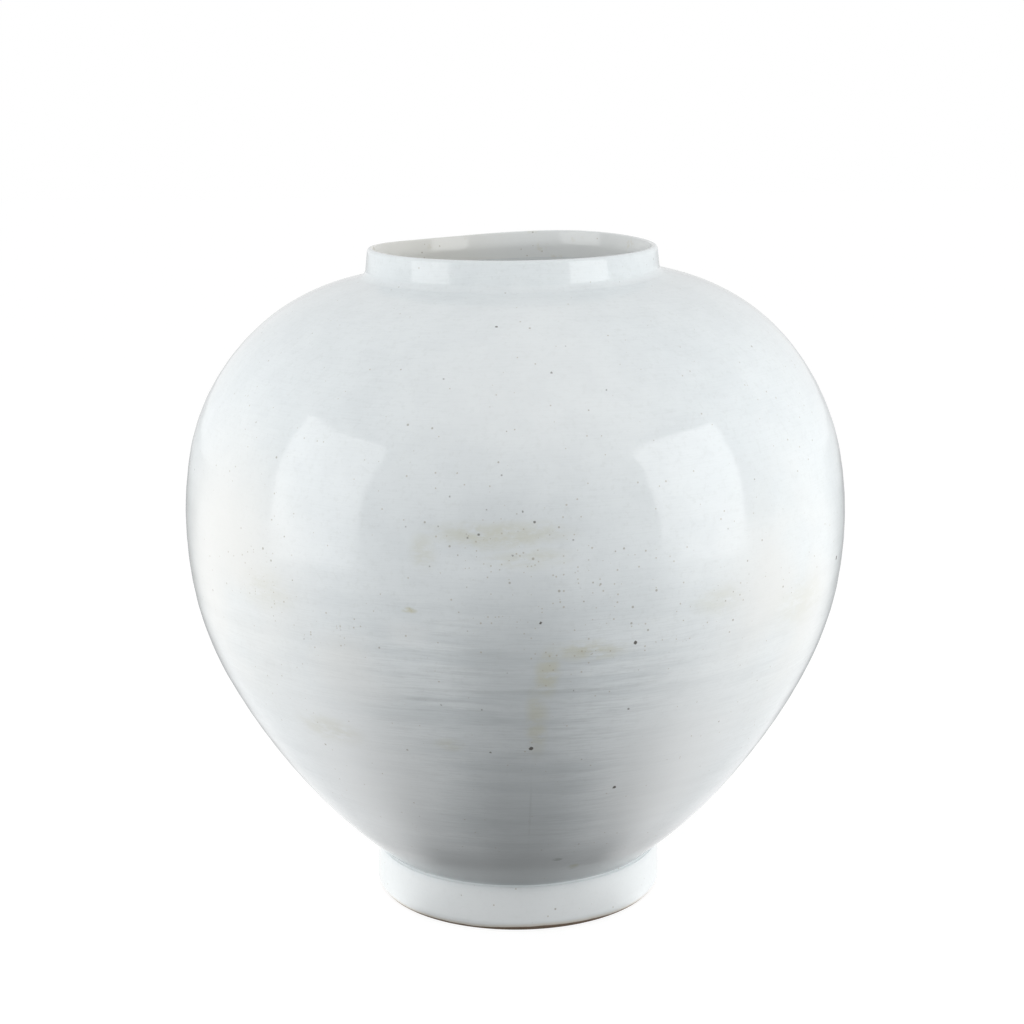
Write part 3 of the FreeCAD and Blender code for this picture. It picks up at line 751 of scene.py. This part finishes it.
# Grey stains: the two in front, low on the belly, are partly grey glaze and partly painted shade that
# darkens the lower front
GREY_STAINS_AND_PAINTED_SHADE = [
    (-1.0, 0.300, 14.0, 0.024, 0.34),
    (1.0, 0.200, 13.0, 0.095, 0.80),
    (1.0, 0.105, 17.0, 0.110, 1.05),
    (-152.0, 0.130, 20.0, 0.070, 0.45),
    (112.0, 0.180, 16.0, 0.050, 0.35),
]
GREY_LINES = [
    (2.5, 0.107, 0.35, 0.044, 0.45),
    (3.0, 0.2010, 24.0, 0.0020, 0.55),
    (-9.0, 0.2160, 9.0, 0.0014, 0.45),
    (-14.0, 0.1940, 12.0, 0.0012, 0.35),
    (11.2, 0.0608, 1.9, 0.0019, 3.00),
    (17.6, 0.0500, 2.4, 0.0036, 2.40),
]
BARE_FRONT = [(6.0, 0.0, 34.0, 0.03, 1.0)]
# Pale stains: the two broad ones either side of the front, low on the belly, are painted light that
# brightens the lower flanks; the others make smaller pale patches
PALE_STAINS_AND_PAINTED_LIGHT = [
    (-31.0, 0.130, 22.0, 0.100, 1.00),
    (30.0, 0.130, 20.0, 0.100, 1.00),
    (-17.0, 0.236, 5.0, 0.010, 0.50),
    (4.0, 0.375, 30.0, 0.060, 0.50),
    (150.0, 0.110, 24.0, 0.060, 0.70),
    (-100.0, 0.150, 20.0, 0.060, 0.60),
]

# Where the finest specks crowd together
SPECK_CROWDS = [
    (2.0, 0.286, 17.0, 0.034, 1.0),
    (9.0, 0.222, 11.0, 0.022, 0.7),
    (28.0, 0.238, 14.0, 0.026, 0.5),
    (-30.0, 0.228, 14.0, 0.020, 0.4),
    (160.0, 0.270, 20.0, 0.030, 0.6),
    (-110.0, 0.240, 18.0, 0.030, 0.5),
    (-46.0, 0.265, 9.0, 0.036, 0.8),
    (-42.0, 0.240, 6.0, 0.014, 0.8),
    (44.0, 0.250, 12.0, 0.022, 0.5),
    (14.0, 0.262, 14.0, 0.034, 0.9),
    (0.0, 0.246, 9.0, 0.020, 0.8),
]


def on_wall(azimuth, level):
    """The place on the jar's outer face at an azimuth and a level."""
    if level < LOWER_RIM:
        radius = arc_at(LOWER_CENTRE, LOWER_ARC, level)[0]
    elif level < BELLY_LEVEL + SHOULDER_RISE:
        radius = arc_at(BELLY_CENTRE, BELLY_ARC, level)[0]
    else:
        radius = arc_at(SHOULDER_CENTRE, SHOULDER_ARC, level)[0]
    turn = math.radians(azimuth)
    return Vector((radius * math.sin(turn), -radius * math.cos(turn), level))


class Spot:
    """Where on the jar a shader is: its place, and which face of the wall it is on."""

    def __init__(self, nodes):
        self.place = nodes.add("ShaderNodeTexCoord").outputs["Object"]
        self.x, self.y, self.level = nodes.add("ShaderNodeSeparateXYZ", {0: self.place}).outputs
        front = nodes.math("MULTIPLY", self.y, -1.0)
        self.turn = nodes.math("DEGREES", nodes.math("ARCTAN2", self.x, front))
        self.inside = nodes.add("ShaderNodeAttribute", attribute_name="inside").outputs["Fac"]
        self.outside = nodes.math("SUBTRACT", 1.0, self.inside)


def field(nodes, place, name):
    """One of the glaze's noises, climbed into a mask where it has limits."""
    scale, detail, roughness, *limits = NOISES[name]
    if isinstance(scale, tuple):
        place, scale = nodes.stretched(place, scale), 1.0
    noise = nodes.noise(place, scale, detail, roughness)
    return nodes.climb(noise, *limits) if limits else noise


def layered(nodes, tint, name, *masks):
    share, shade = LAYERS[name]
    return nodes.mix(nodes.product(*masks, share), tint, colour(*shade))


def shaken(nodes, value, noise, width):
    """A value moved by a noise, by half a width at most to either side."""
    return nodes.math("MULTIPLY_ADD", noise, width, nodes.math("SUBTRACT", value, width / 2))


def stained(nodes, turn, level, stains):
    """How strongly soft-edged oval stains mark each place."""
    marked = 0.0
    for azimuth, height, half_width, half_height, strength in stains:
        across = nodes.math("MULTIPLY_ADD", turn, 1 / half_width, -azimuth / half_width)
        up = nodes.math("MULTIPLY_ADD", level, 1 / half_height, -height / half_height)
        squares = nodes.math("ADD", nodes.product(across, across), nodes.product(up, up))
        shown = nodes.climb(nodes.math("SQRT", squares), *STAIN_EDGE)
        marked = nodes.math("MAXIMUM", marked, nodes.product(shown, strength))
    return marked


def specked(nodes, place):
    """The larger iron specks, each slightly ragged."""
    marked = 0.0
    noise = field(nodes, place, "speck_edge")
    ragged = nodes.math("MULTIPLY_ADD", noise, SPECK_WAVE, -SPECK_WAVE / 2)
    for azimuth, height, width in IRON_SPECKS:
        inputs = {0: place, 1: on_wall(azimuth, height)}
        away = nodes.add("ShaderNodeVectorMath", inputs, operation="DISTANCE").outputs["Value"]
        away = nodes.math("ADD", away, ragged)
        spot = nodes.climb(away, width / 2 + SPECK_BLUR, width / 2 - SPECK_BLUR)
        marked = nodes.math("MAXIMUM", marked, nodes.product(spot, min(1.0, width * SPECK_STRENGTH)))
    return marked


def scattered(nodes, place, scale, share, size):
    """Round specks in a share of the cells of a scatter, of one size as a part of a cell."""
    cells = nodes.add("ShaderNodeTexVoronoi", {"Vector": place, "Scale": scale})
    chance, other, _ = nodes.add("ShaderNodeSeparateColor", {0: cells.outputs["Color"]}).outputs
    limit = nodes.math("MULTIPLY_ADD", other, size, size / 2)
    away = nodes.math("SUBTRACT", cells.outputs["Distance"], limit)
    spot = nodes.climb(away, SCATTER_BLUR, -SCATTER_BLUR)
    return nodes.product(spot, nodes.math("LESS_THAN", chance, share))


def brush_marks(nodes, spot):
    """Brush marks round the lower half, a little off level and in broken patches."""
    drift = field(nodes, spot.place, "drift")
    drifted = nodes.math("MULTIPLY_ADD", drift, BRUSH_DRIFT, spot.level)
    tilted = nodes.add("ShaderNodeCombineXYZ", {0: spot.x, 1: spot.y, 2: drifted}).outputs[0]
    brushed = stained(nodes, spot.turn, spot.level, BRUSHED)
    brushed = nodes.math("MAXIMUM", brushed, BRUSHED_LEAST)
    top = nodes.climb(spot.level, *BRUSHED_TOP)
    foot = nodes.climb(spot.level, *BRUSHED_FOOT)
    low = nodes.product(top, foot, spot.outside, brushed)
    patches = field(nodes, spot.place, "patches")
    streaks = nodes.product(field(nodes, tilted, "streaks"), low)
    lines = nodes.product(field(nodes, tilted, "lines"), low, patches)
    shown = nodes.math("MULTIPLY_ADD", low, 1 - HAIRS_EVERYWHERE, HAIRS_EVERYWHERE)
    hairs = nodes.product(field(nodes, tilted, "hairs"), shown)
    return streaks, lines, hairs


def white_glaze(nodes, spot, streaks, lines, hairs):
    """The white, greyer in soft clouds and thin where it is brushed, with warm clouds at its sides."""
    tint = colour(*WHITE)
    for name in ("clouds", "mottle", "freckle"):
        tint = layered(nodes, tint, name, field(nodes, spot.place, name))
    tint = layered(nodes, tint, "streaks", streaks)
    tint = layered(nodes, tint, "lines", lines)
    tint = layered(nodes, tint, "hairs", hairs)
    clouds = stained(nodes, spot.turn, spot.level, WARM_CLOUDS)
    return layered(nodes, tint, "warm", field(nodes, spot.place, "warm"), clouds, spot.outside)


def add_stains(nodes, spot, tint):
    """The stains, whose edges are broken up, with painted light on the lower flanks, painted shade on
    the lower front and a band of painted shade round the crease above the foot. Where the ochre is, the
    glaze is duller too.
    """
    blur = field(nodes, spot.place, "blur")
    turn = shaken(nodes, spot.turn, blur, STAIN_TURN_BLUR)
    level = shaken(nodes, spot.level, blur, STAIN_LEVEL_BLUR)
    broken = field(nodes, spot.place, "broken")
    # Pale stains, with painted light brightening the lower flanks
    pale = nodes.product(stained(nodes, turn, level, PALE_STAINS_AND_PAINTED_LIGHT), spot.outside)
    tint = layered(nodes, tint, "pale", pale)
    # Grey stains, with painted shade darkening the lower front
    greyed_and_shaded = nodes.product(stained(nodes, turn, spot.level, GREY_STAINS_AND_PAINTED_SHADE), spot.outside)
    tint = layered(nodes, tint, "grey", greyed_and_shaded)
    # Painted shade: a grey band darkens the crease above the foot all the way round
    crease_shade_top = nodes.climb(spot.level, *CREASE_SHADE_TOP)
    crease_shade_foot = nodes.climb(spot.level, *CREASE_SHADE_FOOT)
    tint = layered(nodes, tint, "painted_crease_shade", crease_shade_top, crease_shade_foot, spot.outside)
    seams = nodes.product(stained(nodes, spot.turn, spot.level, GREY_LINES), spot.outside)
    tint = layered(nodes, tint, "seams", seams, broken)
    ochre = nodes.product(stained(nodes, turn, level, OCHRE_STAINS), spot.outside)
    return layered(nodes, tint, "ochre", ochre, broken), ochre


def add_foot_and_inside(nodes, spot, tint):
    """The foot, painted whiter as painted light, and the inside's glaze, which is warmer and has a few
    yellow blotches.
    """
    # Painted light: the foot is painted whiter
    tint = layered(nodes, tint, "foot", nodes.climb(spot.level, *FOOT_PAINTED_LIGHT))
    tint = layered(nodes, tint, "inside", spot.inside)
    left = nodes.climb(spot.x, *INSIDE_LEFT)
    tint = layered(nodes, tint, "inside_left", spot.inside, left)
    return layered(nodes, tint, "blotches", field(nodes, spot.place, "blotches"), spot.inside)


def add_specks(nodes, spot, tint):
    """Fine specks, crowded where the photograph shows them, and the larger ones."""
    crowd = nodes.product(stained(nodes, spot.turn, spot.level, SPECK_CROWDS), spot.outside)
    share = nodes.math("MULTIPLY_ADD", crowd, SPECKS_IN_CROWDS, SPECKS_ANYWHERE)
    patchy = field(nodes, spot.place, "crowding")
    share = nodes.math("MULTIPLY_ADD", patchy, SPECKS_IN_PATCHES, share)
    fine = scattered(nodes, spot.place, FINE_CELLS, share, FINE_SIZE)
    share = nodes.product(share, FINEST_SHARE)
    finest = scattered(nodes, spot.place, FINEST_CELLS, share, FINEST_SIZE)
    tint = layered(nodes, tint, "finest_specks", finest)
    tint = layered(nodes, tint, "fine_specks", fine)
    return layered(nodes, tint, "iron_specks", specked(nodes, spot.place))


def add_bare_clay(nodes, spot, tint, grain):
    """The glaze stops short of the seat, yellow where it thins, and the bare clay is burnt brown."""
    wave = field(nodes, spot.place, "glaze_edge")
    edge = nodes.math("MULTIPLY_ADD", wave, BARE_WAVE, BARE_LEVEL)
    front = stained(nodes, spot.turn, spot.level, BARE_FRONT)
    edge = nodes.math("MULTIPLY_ADD", front, BARE_FRONT_RISE, edge)
    over = nodes.math("SUBTRACT", spot.level, edge)
    tint = layered(nodes, tint, "thin", nodes.climb(over, *THIN_GLAZE))
    bare = nodes.climb(over, *BARE_CLAY)
    clay = nodes.mix(grain, colour(*DARK_CLAY), colour(*PALE_CLAY))
    return nodes.mix(bare, tint, clay), bare


def dullness(nodes, spot, streaks, ochre, bare):
    """The roughness: glossy, and duller in the brush marks, the stains and the bare clay."""
    ragged = shaken(nodes, spot.level, field(nodes, spot.place, "brushed_edge"), DULL_WAVE)
    aside = nodes.math("ABSOLUTE", spot.turn)
    near = nodes.climb(aside, *DULL_NEAR)
    far = nodes.climb(aside, *DULL_FAR)
    foot = nodes.climb(spot.level, *DULL_FOOT)
    dull = nodes.product(nodes.climb(ragged, *DULL_TOP), near, far, foot)
    marked = nodes.math("MAXIMUM", streaks, ochre)
    rough = nodes.math("MULTIPLY_ADD", marked, STREAK_ROUGHNESS, ROUGHNESS)
    rough = nodes.math("MULTIPLY_ADD", dull, DULL_ROUGHNESS, rough)
    return nodes.math("MULTIPLY_ADD", bare, BARE_ROUGHNESS, rough)


def relieved(nodes, spot, lines, hairs, bare, grain):
    """The bump: brush lines and hairs, the glaze's slight waves and peel, and the clay's grain."""
    height = nodes.product(field(nodes, spot.place, "peel"), PEEL_HEIGHT)
    height = nodes.math("MULTIPLY_ADD", lines, LINE_HEIGHT, height)
    height = nodes.math("MULTIPLY_ADD", hairs, HAIR_HEIGHT, height)
    height = nodes.math("MULTIPLY_ADD", field(nodes, spot.place, "waves"), WAVE_HEIGHT, height)
    height = nodes.math("MULTIPLY_ADD", nodes.product(bare, grain), GRAIN_HEIGHT, height)
    inputs = {"Height": height, "Distance": MILLIMETRE, "Strength": 1.0}
    return nodes.add("ShaderNodeBump", inputs).outputs[0]


def glaze():
    material = bpy.data.materials.new("white_glaze")
    material.use_nodes = True
    nodes = Nodes(material.node_tree)
    spot = Spot(nodes)
    streaks, lines, hairs = brush_marks(nodes, spot)
    tint = white_glaze(nodes, spot, streaks, lines, hairs)
    tint, ochre = add_stains(nodes, spot, tint)
    tint = add_foot_and_inside(nodes, spot, tint)
    tint = add_specks(nodes, spot, tint)
    grain = field(nodes, spot.place, "grain")
    tint, bare = add_bare_clay(nodes, spot, tint, grain)
    inputs = {
        "Base Color": tint,
        "Roughness": dullness(nodes, spot, streaks, ochre, bare),
        "Normal": relieved(nodes, spot, lines, hairs, bare, grain),
        "IOR": GLAZE_IOR,
    }
    surface = nodes.add("ShaderNodeBsdfPrincipled", inputs)
    nodes.add("ShaderNodeOutputMaterial", {"Surface": surface.outputs[0]})
    return material


# The camera, the softboxes, the floor and the white room

def place_camera():
    camera = bpy.data.objects.new("camera", bpy.data.cameras.new("camera"))
    bpy.context.scene.collection.objects.link(camera)
    camera.data.sensor_width = SENSOR_MILLIMETRES
    camera.data.lens = FOCAL_PIXELS / FRAME_PIXELS * SENSOR_MILLIMETRES
    back = Vector((0, -math.cos(CAMERA_ELEVATION), math.sin(CAMERA_ELEVATION)))
    turn = (-back).to_track_quat("-Z", "Y").to_matrix().to_4x4()
    roll = Matrix.Rotation(-CAMERA_ROLL, 4, "Z")
    camera.matrix_world = Matrix.Translation(AIM + back * CAMERA_DISTANCE) @ turn @ roll
    camera.data.clip_start, camera.data.clip_end = CAMERA_CLIP
    bpy.context.scene.camera = camera


def place_lamp(name, place, aim, width, height, brightness):
    """An oblong lamp whose face is as bright as it says, where 1 is white."""
    light = bpy.data.lights.new(name, "AREA")
    light.shape = "RECTANGLE"
    light.size = width
    light.size_y = height
    light.energy = brightness * math.pi * width * height
    lamp = bpy.data.objects.new(name, light)
    bpy.context.scene.collection.objects.link(lamp)
    lamp.location = place
    lamp.rotation_euler = (aim - place).to_track_quat("-Z", "Y").to_euler()
    lamp.visible_camera = False
    return lamp


def around(azimuth, distance, level):
    """The place at an azimuth, a distance from the jar's axis and a level."""
    turn = math.radians(azimuth)
    return Vector((distance * math.sin(turn), -distance * math.cos(turn), level))


def place_lamps():
    flat = SOFTBOX_DISTANCE * math.cos(SOFTBOX_ELEVATION)
    rise = SOFTBOX_DISTANCE * math.sin(SOFTBOX_ELEVATION)
    for name, (azimuth, brightness) in SOFTBOXES.items():
        place = around(azimuth, flat, BELLY_LEVEL + rise)
        place_lamp(name, place, Vector((0, 0, BELLY_LEVEL)), SOFTBOX_WIDTH, SOFTBOX_HEIGHT, brightness)
    for name, (azimuth, brightness) in BOARDS.items():
        place = around(azimuth, BOARD_DISTANCE, BOARD_LEVEL)
        board = place_lamp(name, place, Vector((0, 0, BOARD_AIM)), BOARD_WIDTH, BOARD_HEIGHT, brightness)
        board.visible_glossy = False


def rays(nodes):
    """Whether a ray comes from the camera, and whether a glossy or clear surface sends it on."""
    path = nodes.add("ShaderNodeLightPath").outputs
    mirrored = nodes.math("MAXIMUM", path["Is Glossy Ray"], path["Is Transmission Ray"])
    return path["Is Camera Ray"], mirrored


def place_floor():
    mesh = bpy.data.meshes.new("floor")
    reach = FLOOR_REACH
    corners = [(-reach, -reach, 0), (reach, -reach, 0), (reach, reach, 0), (-reach, reach, 0)]
    mesh.from_pydata(corners, [], [(0, 1, 2, 3)])
    floor = bpy.data.objects.new("floor", mesh)
    bpy.context.scene.collection.objects.link(floor)
    material = bpy.data.materials.new("pale_floor")
    material.use_nodes = True
    nodes = Nodes(material.node_tree)
    seen, mirrored = rays(nodes)

    # Dark in front of the jar, where the photographer stands, and pale at its sides
    place = nodes.add("ShaderNodeTexCoord").outputs["Object"]
    x, y, _ = nodes.add("ShaderNodeSeparateXYZ", {0: place}).outputs
    away = nodes.math("SQRT", nodes.math("ADD", nodes.product(x, x), nodes.product(y, y)))
    sides = nodes.climb(nodes.math("DIVIDE", nodes.math("ABSOLUTE", x), away), *FLOOR_SIDE)
    bounce = nodes.math("MULTIPLY_ADD", sides, FLOOR_SIDE_GLOW, FLOOR_FRONT_GLOW)
    bounce = nodes.math("MULTIPLY_ADD", mirrored, FLOOR_MIRRORED_GLOW, bounce)
    far = nodes.product(nodes.climb(away, *FLOOR_FAR), FLOOR_FAR_GLOW)
    bounce = nodes.math("MAXIMUM", bounce, far)
    glow = nodes.mix(seen, bounce, grey(FLOOR_SEEN_GLOW))
    glow = nodes.add("ShaderNodeEmission", {"Color": glow, "Strength": 1.0})
    pale = nodes.mix(seen, grey(0), grey(FLOOR_SEEN_PALE))
    matt = nodes.add("ShaderNodeBsdfDiffuse", {"Color": pale})
    both = nodes.add("ShaderNodeAddShader", {0: glow.outputs[0], 1: matt.outputs[0]})
    clear = nodes.add("ShaderNodeBsdfTransparent")
    under = nodes.add("ShaderNodeNewGeometry").outputs["Backfacing"]
    shown = nodes.add("ShaderNodeMixShader", {0: under, 1: both.outputs[0], 2: clear.outputs[0]})
    nodes.add("ShaderNodeOutputMaterial", {"Surface": shown.outputs[0]})
    mesh.materials.append(material)


def light_room():
    """Pale walls under a paler ceiling, with a white backdrop for the camera and in the glaze."""
    world = bpy.data.worlds.new("studio")
    bpy.context.scene.world = world
    world.use_nodes = True
    nodes = Nodes(world.node_tree)
    way = nodes.add("ShaderNodeTexCoord").outputs["Generated"]
    x, y, z = nodes.add("ShaderNodeSeparateXYZ", {0: way}).outputs
    room = nodes.math("MULTIPLY_ADD", nodes.climb(z, *CEILING), CEILING_GLOW, WALL_GLOW)
    room = nodes.math("MULTIPLY_ADD", nodes.climb(x, *LEFT), LEFT_GLOW, room)
    seen, mirrored = rays(nodes)

    # The backdrop's middle is greyer in the glaze, which draws the jar's thin grey outline
    middle = nodes.climb(y, *BACKDROP_MIDDLE)
    backdrop = nodes.climb(y, *BACKDROP)
    backdrop = nodes.math("MULTIPLY_ADD", middle, BACKDROP_MIDDLE_DROP, backdrop)
    backdrop = nodes.product(backdrop, mirrored)
    bright = nodes.math("MULTIPLY_ADD", backdrop, BACKDROP_GLOW, room)
    strength = nodes.math("MAXIMUM", bright, seen)
    light = nodes.add("ShaderNodeBackground", {"Color": grey(1), "Strength": strength})
    nodes.add("ShaderNodeOutputWorld", {"Surface": light.outputs[0]})


GLAZE = glaze()
place_camera()
foot_ring()
foot_slip()
lower_bowl()
waist_slip()
upper_bowl()
collar_slip()
mouth_collar()
place_lamps()
place_floor()
light_room()
bpy.context.scene.view_settings.view_transform = "Standard"
